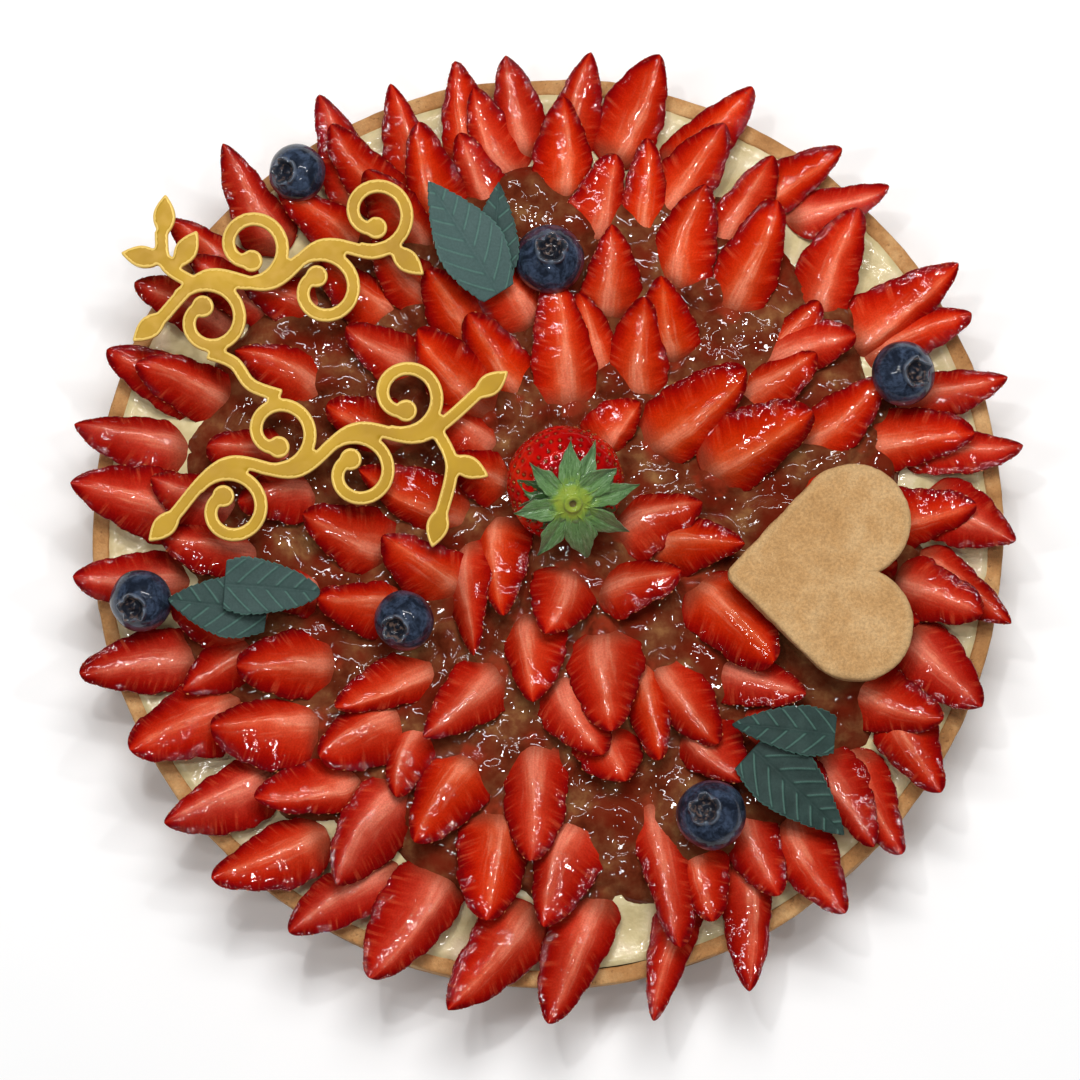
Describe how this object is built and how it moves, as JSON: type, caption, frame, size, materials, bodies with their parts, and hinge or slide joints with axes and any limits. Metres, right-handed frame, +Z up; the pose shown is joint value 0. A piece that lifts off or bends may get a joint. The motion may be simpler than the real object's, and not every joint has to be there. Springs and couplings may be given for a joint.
{
  "type": "strawberry tart",
  "caption": "Round cream tart in a smooth pastry case, covered with rings of strawberry slices and topped with berries, fondant leaves, a heart biscuit and a flat gold ornament.",
  "frame": {"origin": "middle of the pastry case's flat underside", "axes": "+Z up out of the tart, -Y towards the front, where the whole strawberry leans"},
  "size_m": [0.2593, 0.2656, 0.0542],
  "materials": {
    "crust": "matt baked pastry",
    "cream": "glazed cream",
    "strawberry": "wet glaze",
    "calyx": "hairy leaf",
    "blueberry": "waxy bloom",
    "fondant": "matt fondant",
    "biscuit": "matt baked biscuit",
    "gold": "gold mirror coat"
  },
  "bodies": {
    "root": {"crust": "crust", "cream": "cream", "strawberry_slices": "strawberry", "whole_strawberry": "strawberry", "strawberry_calyx": "calyx", "blueberry_1": "blueberry", "blueberry_2": "blueberry", "blueberry_3": "blueberry", "blueberry_4": "blueberry", "blueberry_5": "blueberry", "blueberry_6": "blueberry", "fondant_leaf_1": "fondant", "fondant_leaf_2": "fondant", "fondant_leaf_3": "fondant", "fondant_leaf_4": "fondant", "fondant_leaf_5": "fondant", "fondant_leaf_6": "fondant", "heart_biscuit": "biscuit", "gold_ornament": "gold"}
  },
  "joints": []
}
